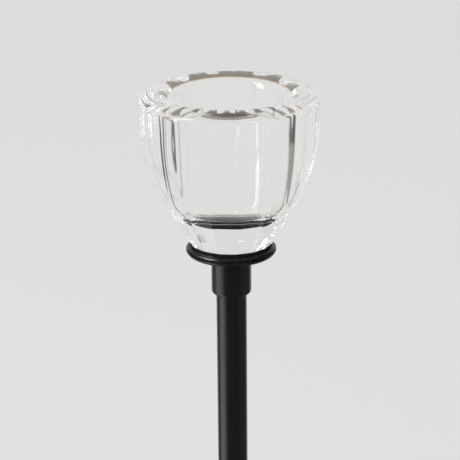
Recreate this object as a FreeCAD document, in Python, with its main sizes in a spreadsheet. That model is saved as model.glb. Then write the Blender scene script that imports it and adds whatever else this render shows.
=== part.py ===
import FreeCAD, Part
import math
import os

import Sketcher
from FreeCAD import Rotation, Vector

# Candle holder: a faceted glass cup stands loose in a beaded tray on a slim stem with a heavy round base.
# Millimetres, +Z up, origin under the middle of the base.
sizes = {
    "overallHeight": 280,
    # Glass cup: flats are measured across two opposite facets.
    "facetCount": 16,
    "cupHeight": 62.1,
    "rimWidth": 70.3,
    "rimFlats": 68.7,
    "bellyRadius": 69,
    "flareAngle": 29.6,
    "footFlats": 30.3,
    "footRest": 26.8,
    "footRound": 4,
    "mouthWidth": 46.6,
    "wellDraft": 4.3,
    "wellCorner": 10,
    "wellFloor": 14.3,
    # Tray: the cup's foot stands inside the low lip, on a thin cushion.
    "trayWidth": 35.2,
    "trayFloor": 2.7,
    "beadRadius": 2.5,
    "beadShoulder": 0.9,
    "lipWidth": 32.8,
    "lipWall": 0.4,
    "lipHeight": 3.7,
    "lipGroove": 0.4,
    "cushionWidth": 28,
    "cushionHeight": 0.6,
    # Stem, its two collars and the rod that ties everything together.
    "stemWidth": 12,
    "stemWall": 1.2,
    "collarWidth": 15.7,
    "collarLength": 16.8,
    "collarRound": 1.6,
    "slipGap": 0.05,
    "spigotGap": 0.15,
    "spigotLength": 12,
    "rodWidth": 6,
    "rodChamfer": 0.6,
    "rodCover": 1.5,
    # Base, with the nut and washer in a recess under it.
    "baseWidth": 110,
    "baseHeight": 8,
    "baseRound": 2.5,
    "baseChamfer": 0.6,
    "stemSeat": 1,
    "recessWidth": 22,
    "recessDepth": 5,
    "rodHole": 6.6,
    "washerWidth": 11.8,
    "washerHeight": 1.6,
    "washerSplit": 0.8,
    "nutFlats": 10,
    "nutHeight": 3.2,
    "padWidth": 104,
    "padHeight": 1.5,
    # How far a cutting outline reaches past the solid it cuts.
    "cutMargin": 3,
}

# Places and lengths that follow from the sizes.
trayHeight = "Sizes.overallHeight - Sizes.cupHeight - Sizes.cushionHeight - Sizes.trayFloor"
baseTop = "Sizes.padHeight + Sizes.baseHeight"
stemFoot = baseTop + " - Sizes.stemSeat"
recessTop = "Sizes.padHeight + Sizes.recessDepth"
rodFoot = recessTop + " - Sizes.washerHeight - Sizes.nutHeight"
rodTop = trayHeight + " - Sizes.rodCover"

doc = FreeCAD.newDocument("CandleHolder")
sheet = doc.addObject("Spreadsheet::Sheet", "Sizes")
for row, (alias, size) in enumerate(sizes.items(), start=1):
    sheet.set(f"A{row}", alias)
    sheet.set(f"B{row}", str(size))
    sheet.setAlias(f"B{row}", alias)
doc.recompute()


def value(expression):
    return float(sheet.evalExpression(expression))


def bend(start, end, radius):
    # Arc from start to end, turning left where radius is positive and right where it is negative.
    chord = end - start
    left = Vector(-chord.y, chord.x, 0).normalize()
    rise = math.sqrt(max(0, radius ** 2 - chord.Length ** 2 / 4))
    centre = (start + end) / 2 + left * math.copysign(rise, radius)
    angles = [math.atan2(point.y - centre.y, point.x - centre.x) for point in (start, end)]
    if radius < 0:
        angles.reverse()
    circle = Part.Circle(centre, Vector(0, 0, 1), abs(radius))
    return Part.ArcOfCircle(circle, angles[0], angles[1])


def pin(sketch, kind, axis, edge, end, expression, name):
    # Hold one coordinate of a corner, on the axis itself where it is zero.
    if expression == "0":
        sketch.addConstraint(Sketcher.Constraint("PointOnObject", edge, end, axis))
        return
    sketch.addConstraint(Sketcher.Constraint(kind, -1, 1, edge, end, value(expression)))
    index = sketch.ConstraintCount - 1
    sketch.renameConstraint(index, name)
    sketch.setExpression(f"Constraints.{name}", expression)


def outline(body, name, corners):
    # Closed outline in the XZ plane. A corner is (x, z) or (x, z, radius of the arc to the next corner).
    plane = next(part for part in body.Origin.OriginFeatures if part.Role == "XZ_Plane")
    sketch = body.newObject("Sketcher::SketchObject", name)
    sketch.AttachmentSupport = [(plane, "")]
    sketch.MapMode = "FlatFace"
    points = [Vector(value(corner[0]), value(corner[1]), 0) for corner in corners]
    ends = []
    for index, corner in enumerate(corners):
        start = points[index]
        end = points[(index + 1) % len(points)]
        radius = value(corner[2]) if len(corner) == 3 else 0
        sketch.addGeometry(bend(start, end, radius) if radius else Part.LineSegment(start, end))
        ends.append((2, 1) if radius < 0 else (1, 2))
    for index, corner in enumerate(corners):
        following = (index + 1) % len(corners)
        joint = Sketcher.Constraint("Coincident", index, ends[index][1], following, ends[following][0])
        sketch.addConstraint(joint)
        pin(sketch, "DistanceX", -2, index, ends[index][0], corner[0], f"across{index}")
        pin(sketch, "DistanceY", -1, index, ends[index][0], corner[1], f"up{index}")
        if len(corner) == 3:
            sketch.addConstraint(Sketcher.Constraint("Radius", index, abs(value(corner[2]))))
            sketch.renameConstraint(sketch.ConstraintCount - 1, f"round{index}")
            sketch.setExpression(f"Constraints.round{index}", f"abs({corner[2]})")
    return sketch


def turned(label, corners, height):
    # A piece turned about the upright axis, standing at the given height.
    body = doc.addObject("PartDesign::Body", label)
    body.Label = label
    body.setExpression("Placement.Base.z", height)
    sketch = outline(body, label + "_outline", corners)
    turn = body.newObject("PartDesign::Revolution", label + "_turn")
    turn.Profile = sketch
    turn.ReferenceAxis = (sketch, ["V_Axis"])
    turn.Angle = 360
    doc.recompute()
    return body


def glassCup():
    # Round blank with a rolled rim and a well whose wall runs smoothly into the roll and the floor.
    roll = "(Sizes.rimWidth - Sizes.mouthWidth) / 4"
    rollMiddle = "(Sizes.rimWidth + Sizes.mouthWidth) / 4"
    shoulder = f"(Sizes.cupHeight - {roll})"
    wallTop = (f"({rollMiddle} - {roll} * cos(Sizes.wellDraft))", f"({shoulder} + {roll} * sin(Sizes.wellDraft))")
    wallFoot = "(Sizes.wellFloor + Sizes.wellCorner * (1 - sin(Sizes.wellDraft)))"
    wallFootAcross = f"({wallTop[0]} - tan(Sizes.wellDraft) * ({wallTop[1]} - {wallFoot}))"
    floorAcross = f"({wallFootAcross} - Sizes.wellCorner * cos(Sizes.wellDraft))"
    body = turned("glass_cup", [
        ("0", "0"),
        ("Sizes.rimWidth / 2", "0"),
        ("Sizes.rimWidth / 2", shoulder, roll),
        (rollMiddle, "Sizes.cupHeight", roll),
        wallTop,
        (wallFootAcross, wallFoot, "-Sizes.wellCorner"),
        (floorAcross, "Sizes.wellFloor"),
        ("0", "Sizes.wellFloor"),
    ], "Sizes.overallHeight - Sizes.cupHeight")

    # One facet: straight across, and along the cup a flare that bends upright below the rim.
    bellyAcross = "(Sizes.rimFlats / 2 - Sizes.bellyRadius * (1 - cos(Sizes.flareAngle)))"
    bellyFoot = f"(({bellyAcross} - Sizes.footFlats / 2) / tan(Sizes.flareAngle))"
    outside = "Sizes.rimWidth / 2 + Sizes.cutMargin"
    above = "Sizes.cupHeight + Sizes.cutMargin"
    below = "-Sizes.cutMargin"
    facet = outline(body, "facet_outline", [
        ("Sizes.footFlats / 2 - Sizes.cutMargin * tan(Sizes.flareAngle)", below),
        (bellyAcross, bellyFoot, "Sizes.bellyRadius"),
        ("Sizes.rimFlats / 2", f"{bellyFoot} + Sizes.bellyRadius * sin(Sizes.flareAngle)"),
        ("Sizes.rimFlats / 2", above),
        (outside, above),
        (outside, below),
    ])
    cut = body.newObject("PartDesign::Pocket", "facet_cut")
    cut.Profile = facet
    cut.Type = "ThroughAll"
    cut.SideType = "Symmetric"
    doc.recompute()
    facets = body.newObject("PartDesign::PolarPattern", "facets")
    facets.Originals = [cut]
    facets.Axis = (facet, ["V_Axis"])
    facets.Angle = 360
    facets.setExpression("Occurrences", "Sizes.facetCount")
    body.Tip = facets
    doc.recompute()

    # Rounded lower edge that leaves a flat circle to stand on.
    footAcross = "Sizes.footRest / 2"
    footEdge = (f"{footAcross} + Sizes.footRound * cos(Sizes.flareAngle)",
                "Sizes.footRound * (1 - sin(Sizes.flareAngle))")
    foot = outline(body, "foot_outline", [
        (footAcross, below),
        (f"{footEdge[0]} + Sizes.cutMargin", below),
        (f"{footEdge[0]} + Sizes.cutMargin", footEdge[1]),
        (footEdge[0], footEdge[1], "-Sizes.footRound"),
        (footAcross, "0"),
    ])
    rounding = body.newObject("PartDesign::Groove", "foot_rounding")
    rounding.Profile = foot
    rounding.ReferenceAxis = (foot, ["V_Axis"])
    rounding.Angle = 360
    body.Tip = rounding
    doc.recompute()
    return body


def cupTray():
    # Dish with a half-round bead, a fine groove and an upright lip, on a spigot that takes the rod.
    bore = "Sizes.rodWidth / 2 + Sizes.slipGap"
    spigot = "Sizes.stemWidth / 2 - Sizes.stemWall - Sizes.spigotGap"
    beadTop = "Sizes.beadRadius + Sizes.beadShoulder"
    lipOutside = "Sizes.lipWidth / 2"
    return turned("cup_tray", [
        ("0", "-Sizes.rodCover"),
        (bore, "-Sizes.rodCover"),
        (bore, "-Sizes.spigotLength"),
        (spigot, "-Sizes.spigotLength"),
        (spigot, "0"),
        ("Sizes.trayWidth / 2 - Sizes.beadRadius", "0", "Sizes.beadRadius"),
        ("Sizes.trayWidth / 2", "Sizes.beadRadius", "Sizes.beadShoulder"),
        ("Sizes.trayWidth / 2 - Sizes.beadShoulder", beadTop),
        (lipOutside, f"{beadTop} - Sizes.lipGroove"),
        (lipOutside, "Sizes.lipHeight"),
        (f"{lipOutside} - Sizes.lipWall", "Sizes.lipHeight"),
        (f"{lipOutside} - Sizes.lipWall", "Sizes.trayFloor"),
        ("0", "Sizes.trayFloor"),
    ], trayHeight)


def collar(label, height, upsideDown):
    # Sleeve around an end of the stem, square where it seats and rounded where the stem leaves it.
    bore = "Sizes.stemWidth / 2 + Sizes.slipGap"
    outside = "Sizes.collarWidth / 2"
    body = turned(label, [
        (bore, "0"),
        (outside, "0"),
        (outside, "Sizes.collarLength - Sizes.collarRound", "Sizes.collarRound"),
        (f"{outside} - Sizes.collarRound", "Sizes.collarLength"),
        (bore, "Sizes.collarLength"),
    ], height)
    if upsideDown:
        body.Placement.Rotation = Rotation(Vector(1, 0, 0), 180)
    return body


def stemTube():
    bore = "Sizes.stemWidth / 2 - Sizes.stemWall"
    length = f"{trayHeight} - ({stemFoot})"
    return turned("stem_tube", [
        (bore, "0"),
        ("Sizes.stemWidth / 2", "0"),
        ("Sizes.stemWidth / 2", length),
        (bore, length),
    ], stemFoot)


def tieRod():
    # From the nut's lower face up to the end of the tray's blind hole, both ends chamfered.
    length = f"{rodTop} - ({rodFoot})"
    return turned("tie_rod", [
        ("0", "0"),
        ("Sizes.rodWidth / 2 - Sizes.rodChamfer", "0"),
        ("Sizes.rodWidth / 2", "Sizes.rodChamfer"),
        ("Sizes.rodWidth / 2", f"{length} - Sizes.rodChamfer"),
        ("Sizes.rodWidth / 2 - Sizes.rodChamfer", length),
        ("0", length),
    ], rodFoot)


def basePlate():
    # Heavy disc with a seat for the stem on top and a recess for nut and washer under it.
    hole = "Sizes.rodHole / 2"
    seat = "Sizes.stemWidth / 2 + Sizes.slipGap"
    edge = "Sizes.baseWidth / 2"
    return turned("base_plate", [
        (hole, "Sizes.recessDepth"),
        ("Sizes.recessWidth / 2", "Sizes.recessDepth"),
        ("Sizes.recessWidth / 2", "0"),
        (f"{edge} - Sizes.baseChamfer", "0"),
        (edge, "Sizes.baseChamfer"),
        (edge, "Sizes.baseHeight - Sizes.baseRound", "Sizes.baseRound"),
        (f"{edge} - Sizes.baseRound", "Sizes.baseHeight"),
        (seat, "Sizes.baseHeight"),
        (seat, "Sizes.baseHeight - Sizes.stemSeat"),
        (hole, "Sizes.baseHeight - Sizes.stemSeat"),
    ], "Sizes.padHeight")


def primitive(kind, label, height, **bindings):
    # A plain solid whose properties follow the sheet.
    solid = doc.addObject(kind, label)
    for name, expression in bindings.items():
        solid.setExpression(name, expression)
    solid.setExpression("Placement.Base.z", height)
    return solid


def less(label, base, tool):
    cut = doc.addObject("Part::Cut", label)
    cut.Label = label
    cut.Base = base
    cut.Tool = tool
    return cut


def disc(label, width, thickness, height):
    return primitive("Part::Cylinder", label, height, Radius=f"{width} / 2", Height=thickness)


def lockWasher():
    # Spring washer, split on one side.
    foot = f"{recessTop} - Sizes.washerHeight"
    blank = disc("washer_blank", "Sizes.washerWidth", "Sizes.washerHeight", foot)
    bore = disc("washer_bore", "(Sizes.rodWidth + 2 * Sizes.slipGap)", "Sizes.washerHeight", foot)
    split = primitive("Part::Box", "washer_gap", foot, Length="Sizes.washerWidth",
                      Width="Sizes.washerSplit", Height="Sizes.washerHeight")
    split.setExpression("Placement.Base.y", "-Sizes.washerSplit / 2")
    return less("lock_washer", less("washer_ring", blank, bore), split)


def baseNut():
    blank = primitive("Part::Prism", "nut_blank", rodFoot, Height="Sizes.nutHeight",
                      Circumradius="Sizes.nutFlats / 2 / cos(30)")
    blank.Polygon = 6
    bore = disc("nut_bore", "(Sizes.rodWidth + 2 * Sizes.slipGap)", "Sizes.nutHeight", rodFoot)
    return less("base_nut", blank, bore)


pieces = [
    glassCup(),
    disc("glass_cushion", "Sizes.cushionWidth", "Sizes.cushionHeight", f"{trayHeight} + Sizes.trayFloor"),
    cupTray(),
    collar("top_collar", trayHeight, upsideDown=True),
    stemTube(),
    tieRod(),
    collar("base_collar", baseTop, upsideDown=False),
    basePlate(),
    lockWasher(),
    baseNut(),
    disc("base_pad", "Sizes.padWidth", "Sizes.padHeight", "0"),
]
doc.recompute()

failed = [item.Name for item in doc.Objects if "Invalid" in item.State or "Error" in item.State]
failed += [piece.Label for piece in pieces if piece.Shape.isNull() or not piece.Shape.isValid()]
if failed:
    raise RuntimeError("not built: " + ", ".join(failed))

os.makedirs("parts", exist_ok=True)
for piece in pieces:
    piece.Shape.exportStep(f"parts/{piece.Label}.step")
    box = piece.Shape.BoundBox
    print(f"{piece.Label}: {len(piece.Shape.Solids)} solid, {piece.Shape.Volume:.0f} mm3,",
          f"z {box.ZMin:.2f} to {box.ZMax:.2f}, width {box.XLength:.2f}")
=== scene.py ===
import math

import bpy
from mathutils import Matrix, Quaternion, Vector


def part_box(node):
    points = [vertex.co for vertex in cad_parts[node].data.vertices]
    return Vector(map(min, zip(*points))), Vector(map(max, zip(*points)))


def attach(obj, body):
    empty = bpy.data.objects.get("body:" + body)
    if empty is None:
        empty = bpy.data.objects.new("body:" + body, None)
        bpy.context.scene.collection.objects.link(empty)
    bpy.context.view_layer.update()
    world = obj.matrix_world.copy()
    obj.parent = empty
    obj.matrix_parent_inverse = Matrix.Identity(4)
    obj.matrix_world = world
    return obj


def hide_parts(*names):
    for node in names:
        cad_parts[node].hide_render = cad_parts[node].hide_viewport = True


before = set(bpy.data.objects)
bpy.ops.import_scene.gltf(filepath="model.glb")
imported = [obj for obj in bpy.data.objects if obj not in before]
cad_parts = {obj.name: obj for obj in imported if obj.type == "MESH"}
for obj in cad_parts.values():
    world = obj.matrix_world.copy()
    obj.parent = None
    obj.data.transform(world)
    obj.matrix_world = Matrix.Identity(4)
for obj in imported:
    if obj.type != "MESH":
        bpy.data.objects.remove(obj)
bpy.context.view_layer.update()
scene = bpy.context.scene
print("frame loaded:", ", ".join(sorted(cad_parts)))


# Node helpers

def addNode(tree, kind, **settings):
    node = tree.nodes.new(kind)
    for name, setting in settings.items():
        setattr(node, name, setting)
    return node


def feed(tree, socket, term):
    # a term is a link from another node or a plain value
    if isinstance(term, bpy.types.NodeSocket):
        tree.links.new(term, socket)
    else:
        socket.default_value = term


def calc(tree, operation, *terms):
    node = addNode(tree, "ShaderNodeMath", operation=operation)
    for socket, term in zip(node.inputs, terms):
        feed(tree, socket, term)
    return node.outputs[0]


# Turned pieces: an outline on the XZ plane is spun about the upright axis, and may be cut into facets

seamGap = 1e-7  # points nearer than this are merged, at the seam and at the poles
unfaceted = 1.0  # a half width across facets that is too wide to cut any piece


def makeLatheTree():
    tree = bpy.data.node_groups.new("latheWithFacets", "GeometryNodeTree")
    tree.is_modifier = True
    for name, kind in (("Outline", "Geometry"), ("Around", "Int"), ("Facets", "Int"),
                       ("Facet Crispness", "Float"), ("Edge Softness", "Float"), ("Finish", "Material")):
        tree.interface.new_socket(name, in_out="INPUT", socket_type="NodeSocket" + kind)
    tree.interface.new_socket("Piece", in_out="OUTPUT", socket_type="NodeSocketGeometry")
    given = addNode(tree, "NodeGroupInput").outputs

    # one grid column for each step around, one row for each outline point
    rows = addNode(tree, "GeometryNodeAttributeDomainSize", component="MESH")
    tree.links.new(given["Outline"], rows.inputs[0])
    rowCount = rows.outputs["Point Count"]
    grid = addNode(tree, "GeometryNodeMeshGrid")
    feed(tree, grid.inputs["Vertices X"], calc(tree, "ADD", given["Around"], 1.0))
    feed(tree, grid.inputs["Vertices Y"], rowCount)

    # halves and quarters keep whole numbers clear of rounding, and the last column falls on the first
    index = addNode(tree, "GeometryNodeInputIndex").outputs[0]
    row = calc(tree, "MODULO", index, rowCount)
    column = calc(tree, "FLOOR", calc(tree, "DIVIDE", calc(tree, "ADD", index, 0.5), rowCount))
    wrapped = calc(tree, "MODULO", calc(tree, "ADD", column, 0.25), given["Around"])
    share = calc(tree, "DIVIDE", calc(tree, "SUBTRACT", wrapped, 0.25), given["Around"])
    turn = calc(tree, "MULTIPLY", share, math.tau)

    place = addNode(tree, "GeometryNodeSampleIndex", data_type="FLOAT_VECTOR")
    flats = addNode(tree, "GeometryNodeSampleIndex", data_type="FLOAT")
    apothem = addNode(tree, "GeometryNodeInputNamedAttribute", data_type="FLOAT")
    apothem.inputs["Name"].default_value = "apothem"
    position = addNode(tree, "GeometryNodeInputPosition")
    for sample, source in ((place, position), (flats, apothem)):
        tree.links.new(given["Outline"], sample.inputs["Geometry"])
        tree.links.new(source.outputs[0], sample.inputs["Value"])
        tree.links.new(row, sample.inputs["Index"])
    split = addNode(tree, "ShaderNodeSeparateXYZ")
    tree.links.new(place.outputs[0], split.inputs[0])

    # distance to the two nearest facets, run together softly at the corner between them
    crispness = given["Facet Crispness"]
    pitch = calc(tree, "DIVIDE", math.tau, given["Facets"])
    away = calc(tree, "PINGPONG", turn, calc(tree, "MULTIPLY", pitch, 0.5))
    near = calc(tree, "POWER", calc(tree, "COSINE", away), crispness)
    far = calc(tree, "POWER", calc(tree, "COSINE", calc(tree, "SUBTRACT", pitch, away)), crispness)
    stretch = calc(tree, "POWER", calc(tree, "ADD", near, far), calc(tree, "DIVIDE", -1.0, crispness))
    facet = calc(tree, "MULTIPLY", flats.outputs[0], stretch)
    across = calc(tree, "SMOOTH_MIN", split.outputs["X"], facet, given["Edge Softness"])
    join = addNode(tree, "ShaderNodeCombineXYZ")
    feed(tree, join.inputs["X"], calc(tree, "MULTIPLY", across, calc(tree, "COSINE", turn)))
    feed(tree, join.inputs["Y"], calc(tree, "MULTIPLY", across, calc(tree, "SINE", turn)))
    feed(tree, join.inputs["Z"], split.outputs["Z"])

    shape = addNode(tree, "GeometryNodeSetPosition")
    tree.links.new(grid.outputs["Mesh"], shape.inputs["Geometry"])
    tree.links.new(join.outputs[0], shape.inputs["Position"])
    closed = addNode(tree, "GeometryNodeMergeByDistance")
    closed.inputs["Distance"].default_value = seamGap
    smooth = addNode(tree, "GeometryNodeSetShadeSmooth")
    real = addNode(tree, "GeometryNodeRealizeInstances")
    finish = addNode(tree, "GeometryNodeSetMaterial")
    tree.links.new(given["Finish"], finish.inputs["Material"])
    out = addNode(tree, "NodeGroupOutput")
    chain = [shape, closed, smooth, real, finish, out]
    for first, second in zip(chain, chain[1:]):
        tree.links.new(first.outputs[0], second.inputs[0])
    return tree


latheTree = makeLatheTree()


def spin(name, outline, material, around, facets=1, crispness=200.0, softness=0.0, apothems=None):
    # outline runs up the outside, then back down to its start or the axis, as (across, up) in metres
    points = [(across, 0, up) for across, up in outline]
    edges = [(i, i + 1) for i in range(len(outline) - 1)]
    mesh = bpy.data.meshes.new(name + "Outline")
    mesh.from_pydata(points, edges, [])
    flats = mesh.attributes.new("apothem", "FLOAT", "POINT")
    flats.data.foreach_set("value", apothems or [unfaceted] * len(outline))
    blank = bpy.data.objects.new(name + "Blank", mesh)
    scene.collection.objects.link(blank)
    lathe = blank.modifiers.new("lathe", "NODES")
    lathe.node_group = latheTree
    inputs = [item for item in latheTree.interface.items_tree if item.in_out == "INPUT"]
    sockets = {item.name: item.identifier for item in inputs}
    for socket, setting in (("Around", around), ("Facets", facets), ("Facet Crispness", crispness),
                            ("Edge Softness", softness), ("Finish", material)):
        lathe[sockets[socket]] = setting
    seen = blank.evaluated_get(bpy.context.evaluated_depsgraph_get())
    piece = bpy.data.objects.new(name, bpy.data.meshes.new_from_object(seen))
    piece.data.name = name
    scene.collection.objects.link(piece)
    blank.modifiers.remove(lathe)
    bpy.data.objects.remove(blank)
    bpy.data.meshes.remove(mesh)
    return piece


def arc(across, up, radius, start, end, steps):
    # points on an arc about (across, up), angles in degrees from the outward direction
    angles = [math.radians(start + (end - start) * i / steps) for i in range(steps + 1)]
    return [(across + radius * math.cos(a), up + radius * math.sin(a)) for a in angles]


def run(start, end, steps):
    # points after start up to and with end, on a straight line
    return [tuple(a + (b - a) * i / steps for a, b in zip(start, end)) for i in range(1, steps + 1)]


def softened(corners, steps=6, support=0.25):
    # outline with each corner (across, up, round) made an arc, and points beside it that keep flats flat
    points = []
    for index, corner in enumerate(corners):
        here = Vector(corner[:2])
        if len(corner) == 2:
            points.append(tuple(here))
            continue
        bend = corner[2]
        back = (Vector(corners[index - 1][:2]) - here).normalized()
        ahead = (Vector(corners[index + 1][:2]) - here).normalized()
        opening = back.angle(ahead)
        reach = bend / math.tan(opening / 2)
        start, end = here + back * reach, here + ahead * reach
        middle = here + (back + ahead).normalized() * bend / math.sin(opening / 2)
        spoke = start - middle
        swing = spoke.angle_signed(end - middle)
        points.append(tuple(start + back * bend * support))
        for i in range(steps + 1):
            angle = -swing * i / steps
            points.append((middle.x + spoke.x * math.cos(angle) - spoke.y * math.sin(angle),
                           middle.y + spoke.x * math.sin(angle) + spoke.y * math.cos(angle)))
        points.append(tuple(end + ahead * bend * support))
    return points


# Finishes

def newMaterial(name):
    material = bpy.data.materials.new(name)
    material.use_nodes = True
    return material, material.node_tree, material.node_tree.nodes["Principled BSDF"]


mottleLook = {"patchDetail": 3.0, "grainDetail": 2.0, "range": (0.3, 0.7)}  # most noise lies in the range


def makeMottleGroup():
    # uneven patches and fine grain for any finish
    group = bpy.data.node_groups.new("mottle", "ShaderNodeTree")
    for name in ("Patch Scale", "Grain Scale", "Grain Share"):
        group.interface.new_socket(name, in_out="INPUT", socket_type="NodeSocketFloat")
    for name in ("Patches", "Grain", "Both"):
        group.interface.new_socket(name, in_out="OUTPUT", socket_type="NodeSocketFloat")
    given = addNode(group, "NodeGroupInput").outputs
    out = addNode(group, "NodeGroupOutput")
    where = addNode(group, "ShaderNodeTexCoord").outputs["Object"]
    patches = addNode(group, "ShaderNodeTexNoise")
    grain = addNode(group, "ShaderNodeTexNoise")
    for noise, scale, detail in ((patches, "Patch Scale", mottleLook["patchDetail"]),
                                 (grain, "Grain Scale", mottleLook["grainDetail"])):
        group.links.new(where, noise.inputs["Vector"])
        group.links.new(given[scale], noise.inputs["Scale"])
        noise.inputs["Detail"].default_value = detail
    both = addNode(group, "ShaderNodeMix")
    group.links.new(given["Grain Share"], both.inputs["Factor"])
    group.links.new(patches.outputs["Fac"], both.inputs["A"])
    group.links.new(grain.outputs["Fac"], both.inputs["B"])
    group.links.new(patches.outputs["Fac"], out.inputs["Patches"])
    group.links.new(grain.outputs["Fac"], out.inputs["Grain"])
    group.links.new(both.outputs["Result"], out.inputs["Both"])
    return group


mottle = makeMottleGroup()


def placeMottle(tree, look):
    node = addNode(tree, "ShaderNodeGroup", node_tree=mottle)
    for name, setting in zip(("Patch Scale", "Grain Scale", "Grain Share"), look["mottle"]):
        node.inputs[name].default_value = setting
    return node.outputs


def spread(tree, source, values, socket):
    # a value that follows the mottle between two others
    node = addNode(tree, "ShaderNodeMapRange")
    tree.links.new(source, node.inputs["Value"])
    for name, setting in zip(("From Min", "From Max", "To Min", "To Max"), (*mottleLook["range"], *values)):
        node.inputs[name].default_value = setting
    tree.links.new(node.outputs[0], socket)


def tint(tree, source, look, socket):
    # a colour that follows the mottle from dark to pale
    node = addNode(tree, "ShaderNodeValToRGB")
    tree.links.new(source, node.inputs[0])
    for stop, position, tone in zip(node.color_ramp.elements, mottleLook["range"], ("dark", "pale")):
        stop.position = position
        stop.color = (*look[tone], 1)
    tree.links.new(node.outputs["Color"], socket)


def bump(tree, height, look, socket):
    node = addNode(tree, "ShaderNodeBump")
    node.inputs["Strength"].default_value = look["bump"]
    node.inputs["Distance"].default_value = look["bumpDepth"]
    tree.links.new(height, node.inputs["Height"])
    tree.links.new(node.outputs[0], socket)


# mottle holds the patch scale, the grain scale and the grain's share
clearGlassLook = {"ior": 1.52, "tone": (0.985, 0.99, 0.985), "roughness": (0.0, 0.003),
                  "mottle": (90.0, 700.0, 0.3), "bump": 0.07, "bumpDepth": 0.0001}


def makeClearGlass(look):
    # fire-polished, with a faint waver left by the mould
    material, tree, shader = newMaterial("clearGlass")
    marks = placeMottle(tree, look)
    shader.inputs["Base Color"].default_value = (*look["tone"], 1)
    shader.inputs["Transmission Weight"].default_value = 1.0
    shader.inputs["IOR"].default_value = look["ior"]
    spread(tree, marks["Both"], look["roughness"], shader.inputs["Roughness"])
    bump(tree, marks["Patches"], look, shader.inputs["Normal"])
    return material


satinBlackLook = {"dark": (0.0055, 0.006, 0.0065), "pale": (0.0085, 0.009, 0.0095), "roughness": (0.2, 0.32),
                  "shine": 0.3, "mottle": (90.0, 2600.0, 0.5), "bump": 0.15, "bumpDepth": 0.0001}


def makeSatinBlack(look):
    # thin black coat on steel with a fine, slightly uneven grain
    material, tree, shader = newMaterial("satinBlack")
    marks = placeMottle(tree, look)
    tint(tree, marks["Both"], look, shader.inputs["Base Color"])
    spread(tree, marks["Both"], look["roughness"], shader.inputs["Roughness"])
    shader.inputs["Specular IOR Level"].default_value = look["shine"]
    bump(tree, marks["Grain"], look, shader.inputs["Normal"])
    return material


zincSteelLook = {"dark": (0.42, 0.43, 0.45), "pale": (0.6, 0.61, 0.63), "roughness": (0.26, 0.42),
                 "mottle": (220.0, 1800.0, 0.4), "bump": 0.1, "bumpDepth": 0.00005}


def makeZincSteel(look):
    # plated rod, nut and washer with the dull bloom of zinc
    material, tree, shader = newMaterial("zincSteel")
    marks = placeMottle(tree, look)
    tint(tree, marks["Both"], look, shader.inputs["Base Color"])
    spread(tree, marks["Both"], look["roughness"], shader.inputs["Roughness"])
    shader.inputs["Metallic"].default_value = 1.0
    bump(tree, marks["Grain"], look, shader.inputs["Normal"])
    return material


blackFeltLook = {"dark": (0.006, 0.006, 0.006), "pale": (0.022, 0.021, 0.021), "roughness": (0.85, 1.0),
                 "shine": 0.15, "mottle": (260.0, 5200.0, 0.7), "bump": 0.6, "bumpDepth": 0.0003}


def makeBlackFelt(look):
    # soft black nap
    material, tree, shader = newMaterial("blackFelt")
    marks = placeMottle(tree, look)
    tint(tree, marks["Both"], look, shader.inputs["Base Color"])
    spread(tree, marks["Grain"], look["roughness"], shader.inputs["Roughness"])
    shader.inputs["Specular IOR Level"].default_value = look["shine"]
    bump(tree, marks["Both"], look, shader.inputs["Normal"])
    return material


clearGlass = makeClearGlass(clearGlassLook)
satinBlack = makeSatinBlack(satinBlackLook)
zincSteel = makeZincSteel(zincSteelLook)
blackFelt = makeBlackFelt(blackFeltLook)
print("finishes made")


def settle(piece, node, body):
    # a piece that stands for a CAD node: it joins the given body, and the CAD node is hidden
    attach(piece, body)
    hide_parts(node)


# Glass cup: a round blank with a rolled rim and a well, cut into upright facets on the outside

glassCup = {
    "facetCount": 16, "stepsPerFacet": 20, "crispness": 200.0, "edgeSoftness": 0.0004,
    "rimWidth": 0.0703, "rimFlats": 0.0687, "bellyRadius": 0.069, "flareAngle": 29.6, "footFlats": 0.0303,
    "footRest": 0.0268, "footStep": 0.0018, "footEdge": 0.0004, "footPress": 0.00002,
    "mouthWidth": 0.0466, "wellDraft": 4.3, "wellCorner": 0.01, "wellFloor": 0.0143,
    "restRows": 6, "restEdgeRows": 4, "ringRows": 3, "stepRows": 4, "facetEdgeRows": 8, "facetRows": 56,
    "shoulderRows": 6, "rimRows": 56, "wallRows": 34, "cornerRows": 24, "floorRows": 8,
}


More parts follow.
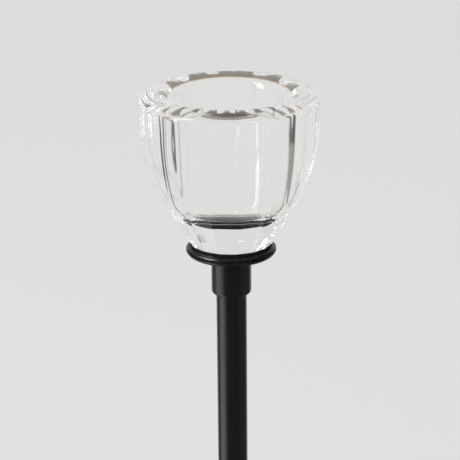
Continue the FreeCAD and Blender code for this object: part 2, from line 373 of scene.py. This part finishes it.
def makeGlassCup(cup):
    low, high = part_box("glass_cup")
    tall = high.z - low.z
    flare, draft = math.radians(cup["flareAngle"]), math.radians(cup["wellDraft"])
    roll = (cup["rimWidth"] - cup["mouthWidth"]) / 4
    rollMiddle = (cup["rimWidth"] + cup["mouthWidth"]) / 4
    shoulder = tall - roll
    bellyAcross = cup["rimFlats"] / 2 - cup["bellyRadius"] * (1 - math.cos(flare))
    bellyFoot = (bellyAcross - cup["footFlats"] / 2) / math.tan(flare)
    bellyTop = bellyFoot + cup["bellyRadius"] * math.sin(flare)

    def apothem(up):
        # half the width across facets at a height: a straight flare, then a bend to upright
        if up < bellyFoot:
            return cup["footFlats"] / 2 + up * math.tan(flare)
        bend = math.asin(max(0.0, bellyTop - up) / cup["bellyRadius"])
        return cup["rimFlats"] / 2 - cup["bellyRadius"] * (1 - math.cos(bend))

    # foot: a narrow ring pressed into the cushion, and a step out to the facets' rounded lower edge
    ring, ledge, edge = cup["footRest"] / 2, cup["footStep"], cup["footEdge"]
    ringEdge = edge / 2
    rest = -cup["footPress"]
    edgeMiddle = apothem(ledge + edge) - edge / math.cos(flare)
    foot = [(0, rest)] + run((0, rest), (ring - ringEdge, rest), cup["restRows"])
    foot += arc(ring - ringEdge, rest + ringEdge, ringEdge, -90, 0, cup["restEdgeRows"])[1:]
    foot += run(foot[-1], (ring, ledge), cup["ringRows"])
    foot += run((ring, ledge), (edgeMiddle - edge, ledge), cup["stepRows"])
    facetEdge = arc(edgeMiddle, ledge + edge, edge, -90, -cup["flareAngle"], cup["facetEdgeRows"])

    # blank: upright to the shoulder, over the rolled rim, then down the well to its floor
    blank = cup["rimWidth"] / 2
    outside = foot + [(blank, up) for across, up in facetEdge]
    outside += run(outside[-1], (blank, bellyTop), cup["facetRows"])
    outside += run((blank, bellyTop), (blank, shoulder), cup["shoulderRows"])
    rollOver = arc(rollMiddle, shoulder, roll, 0, 180 - cup["wellDraft"], cup["rimRows"])
    wallTop = rollOver[-1]
    bowl = cup["wellCorner"]
    corner = arc(0, cup["wellFloor"] + bowl, bowl, -cup["wellDraft"], -90, cup["cornerRows"])
    wallFoot = wallTop[0] - math.tan(draft) * (wallTop[1] - corner[0][1])
    corner = [(across + wallFoot - corner[0][0], up) for across, up in corner]
    inside = run(wallTop, corner[0], cup["wallRows"]) + corner[1:]
    inside += run(corner[-1], (0, cup["wellFloor"]), cup["floorRows"])
    outline = outside + rollOver[1:] + inside

    # facets run from their lower edge to the crest of the rim
    crest = len(outside) + len(rollOver) // 2
    flats = [unfaceted] * len(foot) + [across for across, up in facetEdge]
    flats += [apothem(up) for across, up in outline[len(flats):crest]]
    flats += [unfaceted] * (len(outline) - crest)
    outline = [(across, up + low.z) for across, up in outline]
    piece = spin("glassCup", outline, clearGlass, cup["facetCount"] * cup["stepsPerFacet"], cup["facetCount"],
                 cup["crispness"], cup["edgeSoftness"], flats)
    settle(piece, "glass_cup", "cup")
    print("glass cup:", len(piece.data.polygons), "faces")


makeGlassCup(glassCup)


# Cushion: a soft black seat whose rim fills the step under the glass

cushion = {"bite": 0.00002, "rimWidth": 0.031, "rimRound": 0.0004, "around": 128}


def makeCushion(sizes):
    low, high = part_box("glass_cushion")
    rim, bend = sizes["rimWidth"] / 2, sizes["rimRound"]
    ring = glassCup["footRest"] / 2 - sizes["bite"]  # the felt hugs the glass, so no air shows between them
    top = high.z + glassCup["footStep"] + sizes["bite"]
    outline = softened([
        (0, low.z),
        (rim, low.z, bend / 2),
        (rim, top, bend),
        (ring, top, bend / 2),
        (ring, high.z, bend / 4),
        (0, high.z),
    ])
    piece = spin("glassCushion", outline, blackFelt, sizes["around"])
    settle(piece, "glass_cushion", "stand")


makeCushion(cushion)
print("cushion made")


# Stand: tray, collars, stem and base, turned from steel and coated black

tray = {
    "beadRound": 0.0019, "shoulderHeight": 0.0015, "shoulderRound": 0.00147, "shoulderWidth": 0.00165,
    "groove": 0.0004, "grooveTop": 0.00006, "grooveFoot": 0.000072, "lipWidth": 0.0328, "lipWall": 0.0004,
    "lipHeight": 0.0037, "floor": 0.0027, "floorCorner": 0.00024, "edge": 0.00012, "spigotWidth": 0.0093,
    "spigotRound": 0.0004, "around": 192, "cornerSteps": 10,
}


def makeTray(sizes):
    low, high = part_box("cup_tray")
    wide, edge = high.x, sizes["edge"]
    spigot = sizes["spigotWidth"] / 2
    under = high.z - sizes["lipHeight"]
    floor = under + sizes["floor"]
    beadTop = under + sizes["beadRound"] + sizes["shoulderHeight"]
    lip = sizes["lipWidth"] / 2
    lipInside = lip - sizes["lipWall"]
    outline = softened([
        (0, low.z),
        (spigot, low.z, sizes["spigotRound"]),
        (spigot, under, edge),
        (wide, under, sizes["beadRound"]),
        (wide, beadTop, sizes["shoulderRound"]),
        (wide - sizes["shoulderWidth"], beadTop, sizes["grooveTop"]),
        (lip, beadTop - sizes["groove"], sizes["grooveFoot"]),
        (lip, high.z, edge),
        (lipInside, high.z, edge),
        (lipInside, floor, sizes["floorCorner"]),
        (0, floor),
    ], sizes["cornerSteps"])
    piece = spin("cupTray", outline, satinBlack, sizes["around"])
    settle(piece, "cup_tray", "stand")


collar = {"round": 0.0016, "edge": 0.0002, "around": 128, "cornerSteps": 10}


def makeCollar(sizes, name, node, upsideDown):
    # a sleeve round the stem, square where it seats and rounded at its free end
    low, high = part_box(node)
    seat, free = (high.z, low.z) if upsideDown else (low.z, high.z)
    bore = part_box("stem_tube")[1].x
    outline = softened([
        (bore, seat),
        (high.x, seat, sizes["edge"]),
        (high.x, free, sizes["round"]),
        (bore, free),
        (bore, seat),
    ], sizes["cornerSteps"])
    if upsideDown:
        outline.reverse()  # still up the outside, so that faces point outwards
    piece = spin(name, outline, satinBlack, sizes["around"])
    settle(piece, node, "stand")


stem = {"wall": 0.0012, "rows": 12, "around": 128}


def makeStem(sizes):
    low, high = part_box("stem_tube")
    outer, inner = high.x, high.x - sizes["wall"]
    outline = [(inner, low.z), (outer, low.z)] + run((outer, low.z), (outer, high.z), sizes["rows"])
    outline += [(inner, high.z), (inner, low.z)]
    piece = spin("stemTube", outline, satinBlack, sizes["around"])
    settle(piece, "stem_tube", "stand")


base = {
    "round": 0.0025, "chamfer": 0.0006, "edge": 0.0002, "fineEdge": 0.0001, "recessWidth": 0.022,
    "recessDepth": 0.005, "rodHole": 0.0066, "seatDepth": 0.001, "seatGap": 0.00005, "around": 256,
    "cornerSteps": 8,
}


def makeBase(sizes):
    # underside recess for nut and washer, rod hole, and a shallow seat for the stem on top
    low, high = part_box("base_plate")
    edge, fineEdge, chamfer = sizes["edge"], sizes["fineEdge"], sizes["chamfer"]
    hole, recessSide = sizes["rodHole"] / 2, sizes["recessWidth"] / 2
    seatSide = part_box("stem_tube")[1].x + sizes["seatGap"]
    seat = high.z - sizes["seatDepth"]
    recess = low.z + sizes["recessDepth"]
    outline = softened([
        (hole, recess),
        (recessSide, recess, edge),
        (recessSide, low.z, edge),
        (high.x - chamfer, low.z, fineEdge),
        (high.x, low.z + chamfer, edge),
        (high.x, high.z, sizes["round"]),
        (seatSide, high.z, fineEdge),
        (seatSide, seat, fineEdge),
        (hole, seat),
        (hole, recess),
    ], sizes["cornerSteps"])
    piece = spin("basePlate", outline, satinBlack, sizes["around"])
    settle(piece, "base_plate", "stand")


makeTray(tray)
makeCollar(collar, "topCollar", "top_collar", True)
makeCollar(collar, "baseCollar", "base_collar", False)
makeStem(stem)
makeBase(base)

# plain hidden pieces keep their CAD shape
for node, material in (("base_pad", blackFelt), ("tie_rod", zincSteel),
                       ("lock_washer", zincSteel), ("base_nut", zincSteel)):
    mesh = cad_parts[node].data
    mesh.materials.clear()
    mesh.materials.append(material)
print("stand made")


# Camera at the photograph's angle

camera = {"lens": 125.2, "sensor": 36.0, "distance": 0.6233, "pitch": 19.6, "turn": 4.5, "roll": -0.5,
          "aimHeight": 0.2239, "aimShift": -0.0004, "clipStart": 0.02}


def makeCamera(sizes):
    data = bpy.data.cameras.new("camera")
    data.lens, data.sensor_width, data.clip_start = sizes["lens"], sizes["sensor"], sizes["clipStart"]
    seat = bpy.data.objects.new("camera", data)
    scene.collection.objects.link(seat)
    pitch, turn, roll = (math.radians(sizes[name]) for name in ("pitch", "turn", "roll"))
    back = Vector((math.sin(turn) * math.cos(pitch), -math.cos(turn) * math.cos(pitch), math.sin(pitch)))
    right = Vector((math.cos(turn), math.sin(turn), 0))
    seat.location = Vector((0, 0, sizes["aimHeight"])) + right * sizes["aimShift"] + back * sizes["distance"]
    seat.rotation_mode = "QUATERNION"
    seat.rotation_quaternion = (-back).to_track_quat("-Z", "Y") @ Quaternion((0, 0, 1), roll)
    scene.camera = seat


makeCamera(camera)


# Studio: pale floor and surroundings, one window-like lamp, dark flags beside the glass that draw its edges

studio = {
    "pale": (0.745, 0.742, 0.738), "floorWidth": 16.0, "floorColour": (0.9, 0.897, 0.893), "floorGlow": 0.5,
    "lampPlace": (-0.9, -0.5, 0.5), "lampSize": (0.3, 0.9), "lampPower": 4.5, "lampAim": 0.03,
    "bounces": 48,  # thick cut glass sends light round inside many times
}

# what glass and metal see around them: degrees right of straight ahead, degrees up, softness, colour
flags = {
    "leftFlag": ((-57.0, -47.0), (-40.0, 12.0), 1.0, (0.1, 0.095, 0.09)),
    "leftThinFlag": ((-70.0, -65.0), (-34.0, -8.0), 1.0, (0.15, 0.145, 0.14)),
    "rightFlag": ((53.0, 74.0), (-20.0, 12.0), 1.0, (0.29, 0.27, 0.25)),
    "rightLowFlag": ((53.0, 74.0), (-40.0, -18.5), 1.0, (0.1, 0.085, 0.075)),
    "tableEdge": ((-70.0, 70.0), (-100.0, -44.0), 1.5, (0.62, 0.46, 0.3)),
    "tableTop": ((-70.0, 70.0), (-100.0, -47.0), 1.5, (0.25, 0.22, 0.19)),
    "tableBelow": ((-200.0, 200.0), (-100.0, -69.0), 1.5, (0.25, 0.22, 0.19)),
}

# the room behind the camera, mirrored only where a surface is a little rough, as the satin black is:
# a dim wall, a dull pane on the camera's right, a bright one low on its left and a brighter one above that
roomBehind = {
    "dimRoom": ((48.0, 312.0), (-100.0, 100.0), 10.0, (0.15, 0.15, 0.15)),
    "rightPane": ((85.0, 125.0), (-70.0, 20.0), 12.0, (0.3, 0.3, 0.3)),
    "leftPane": ((233.0, 281.0), (-70.0, -4.0), 14.0, (2.9, 2.9, 2.9)),
    "leftPaneTop": ((236.0, 278.0), (34.0, 54.0), 6.0, (18.0, 18.0, 18.0)),
}


def turned(place):
    # from the camera's own left, right and depth to the frame
    angle = math.radians(camera["turn"])
    x, y, z = place
    return Vector((x * math.cos(angle) - y * math.sin(angle), x * math.sin(angle) + y * math.cos(angle), z))


def seenByShine(tree):
    # 1 for light that reaches the eye by way of glass or metal
    path = addNode(tree, "ShaderNodeLightPath").outputs
    return calc(tree, "MAXIMUM", path["Is Glossy Ray"], path["Is Transmission Ray"])


def makeFloor():
    material, tree, shader = newMaterial("paleFloor")
    shader.inputs["Base Color"].default_value = (*studio["floorColour"], 1)
    shader.inputs["Roughness"].default_value = 1.0
    shader.inputs["Specular IOR Level"].default_value = 0.0
    glow = addNode(tree, "ShaderNodeEmission")
    glow.inputs["Color"].default_value = (*studio["pale"], 1)
    clear = addNode(tree, "ShaderNodeBsdfTransparent")
    eye = addNode(tree, "ShaderNodeLightPath").outputs["Is Camera Ray"]
    under = addNode(tree, "ShaderNodeNewGeometry").outputs["Backfacing"]
    lit = addNode(tree, "ShaderNodeMixShader")
    either = addNode(tree, "ShaderNodeMixShader")
    for mix, share, first, second in ((lit, calc(tree, "MULTIPLY", eye, studio["floorGlow"]), shader, glow),
                                      (either, calc(tree, "MAXIMUM", under, seenByShine(tree)), lit, clear)):
        tree.links.new(share, mix.inputs[0])
        tree.links.new(first.outputs[0], mix.inputs[1])
        tree.links.new(second.outputs[0], mix.inputs[2])
    tree.links.new(either.outputs[0], tree.nodes["Material Output"].inputs["Surface"])
    half = studio["floorWidth"] / 2
    corners = [(-half, -half, 0), (half, -half, 0), (half, half, 0), (-half, half, 0)]
    mesh = bpy.data.meshes.new("floor")
    mesh.from_pydata(corners, [], [(0, 1, 2, 3)])
    mesh.materials.append(material)
    floor = bpy.data.objects.new("floor", mesh)
    scene.collection.objects.link(floor)


def softEdge(tree, source, edge, soft, rising):
    # a mask that rises to 1, or falls from it, as the source passes an edge
    node = addNode(tree, "ShaderNodeMapRange", interpolation_type="SMOOTHSTEP")
    tree.links.new(source, node.inputs["Value"])
    for name, setting in (("From Min", edge - soft), ("From Max", edge + soft),
                          ("To Min", 1 - rising), ("To Max", rising)):
        node.inputs[name].default_value = setting
    return node.outputs[0]


def blend(tree, share, first, second):
    # a colour between two others
    node = addNode(tree, "ShaderNodeMix", data_type="RGBA")
    sockets = [node.inputs["Factor"]] + [socket for socket in node.inputs if socket.type == "RGBA"]
    for socket, term in zip(sockets, (share, first, second)):
        feed(tree, socket, term)
    return next(socket for socket in node.outputs if socket.type == "RGBA")


def makeSurroundings():
    world = bpy.data.worlds.new("studio")
    scene.world = world
    world.use_nodes = True
    tree = world.node_tree

    # the direction looked in, as degrees right of straight ahead and degrees up
    level = addNode(tree, "ShaderNodeVectorRotate", rotation_type="Z_AXIS")
    level.inputs["Angle"].default_value = -math.radians(camera["turn"])
    tree.links.new(addNode(tree, "ShaderNodeTexCoord").outputs["Generated"], level.inputs["Vector"])
    way = addNode(tree, "ShaderNodeSeparateXYZ")
    tree.links.new(level.outputs[0], way.inputs[0])
    aside = calc(tree, "DEGREES", calc(tree, "ARCTAN2", way.outputs["X"], way.outputs["Y"]))
    up = calc(tree, "DEGREES", calc(tree, "ARCSINE", way.outputs["Z"]))
    around = calc(tree, "MODULO", calc(tree, "ADD", aside, 360.0), 360.0)

    # satin metal mirrors blurred light, the polished glass does not
    path = addNode(tree, "ShaderNodeLightPath").outputs
    blurred = calc(tree, "SUBTRACT", 1.0, path["Is Singular Ray"])
    satin = calc(tree, "MULTIPLY", path["Is Reflection Ray"], blurred)
    pale = (*studio["pale"], 1)
    colour = pale
    for patches, angle, share in ((flags, aside, 1.0), (roomBehind, around, satin)):
        for (left, right), (bottom, top), soft, tone in patches.values():
            mask = share
            for source, edge, rising in ((angle, left, 1), (angle, right, 0), (up, bottom, 1), (up, top, 0)):
                mask = calc(tree, "MULTIPLY", mask, softEdge(tree, source, edge, soft, rising))
            colour = blend(tree, mask, colour, (*tone, 1))
    seen = blend(tree, seenByShine(tree), pale, colour)
    tree.links.new(seen, tree.nodes["Background"].inputs["Color"])


def makeLamp():
    lamp = bpy.data.lights.new("window", "AREA")
    lamp.shape = "RECTANGLE"
    lamp.size, lamp.size_y = studio["lampSize"]
    lamp.energy = studio["lampPower"]
    holder = bpy.data.objects.new("window", lamp)
    scene.collection.objects.link(holder)
    cupFoot = Vector((0, 0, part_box("glass_cup")[0].z))
    holder.location = turned(studio["lampPlace"]) + cupFoot
    aim = cupFoot + Vector((0, 0, studio["lampAim"])) - holder.location
    holder.rotation_mode = "QUATERNION"
    holder.rotation_quaternion = aim.to_track_quat("-Z", "Y")


makeFloor()
makeSurroundings()
makeLamp()
scene.view_settings.view_transform = "Standard"
for limit in ("max_bounces", "transmission_bounces", "glossy_bounces"):
    setattr(scene.cycles, limit, studio["bounces"])
print("camera and studio set")
